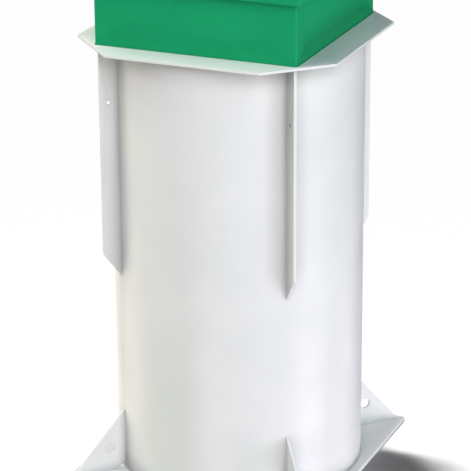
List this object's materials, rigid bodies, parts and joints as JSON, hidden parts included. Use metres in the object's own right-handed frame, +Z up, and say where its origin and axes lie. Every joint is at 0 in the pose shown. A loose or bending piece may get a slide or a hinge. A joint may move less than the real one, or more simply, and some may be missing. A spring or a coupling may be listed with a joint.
{
  "type": "septic tank",
  "caption": "Round upright septic tank of welded plastic with a square base plate, bracing gussets and fins, a collar plate, and a square neck with a hinged lid.",
  "frame": {"origin": "centre of the base plate's underside, on the floor", "axes": "+Z up along the tank's axis; -Y is the front, the neck's side seen widest in the picture; +Y is the back, where the lid is hinged; +X is the right"},
  "size_m": [1.07, 1.07, 2.14],
  "materials": {
    "white_plastic": "satin white polypropylene sheet",
    "green_plastic": "satin green polypropylene sheet",
    "liner_foam": "closed-cell foam board",
    "seal_rubber": "matte sponge rubber",
    "pin_steel": "plain stainless rod"
  },
  "bodies": {
    "tank": {"base_plate": "white_plastic", "tank_shell": "white_plastic", "collar_plate": "white_plastic", "fin_front_left": "white_plastic", "fin_front_right": "white_plastic", "fin_back_left": "white_plastic", "fin_back_right": "white_plastic", "gusset_front_left": "white_plastic", "gusset_front_right": "white_plastic", "gusset_back_left": "white_plastic", "gusset_back_right": "white_plastic", "neck_wall_front": "green_plastic", "neck_wall_back": "green_plastic", "neck_wall_left": "green_plastic", "neck_wall_right": "green_plastic", "rim_seal": "seal_rubber", "hinge_bracket_left": "green_plastic", "hinge_bracket_right": "green_plastic", "hinge_pin_left": "pin_steel", "hinge_pin_right": "pin_steel"},
    "lid": {"lid_top": "green_plastic", "lid_skirt_front": "green_plastic", "lid_skirt_back": "green_plastic", "lid_skirt_left": "green_plastic", "lid_skirt_right": "green_plastic", "lid_liner": "liner_foam", "hinge_leaf_left": "green_plastic", "hinge_leaf_right": "green_plastic"}
  },
  "joints": [
    {"name": "lid_hinge", "type": "hinge", "parent": "tank", "child": "lid", "pos_m": [0, 0.4475, 2.028], "axis": [-1, 0, 0], "range_deg": [0, 100]}
  ]
}
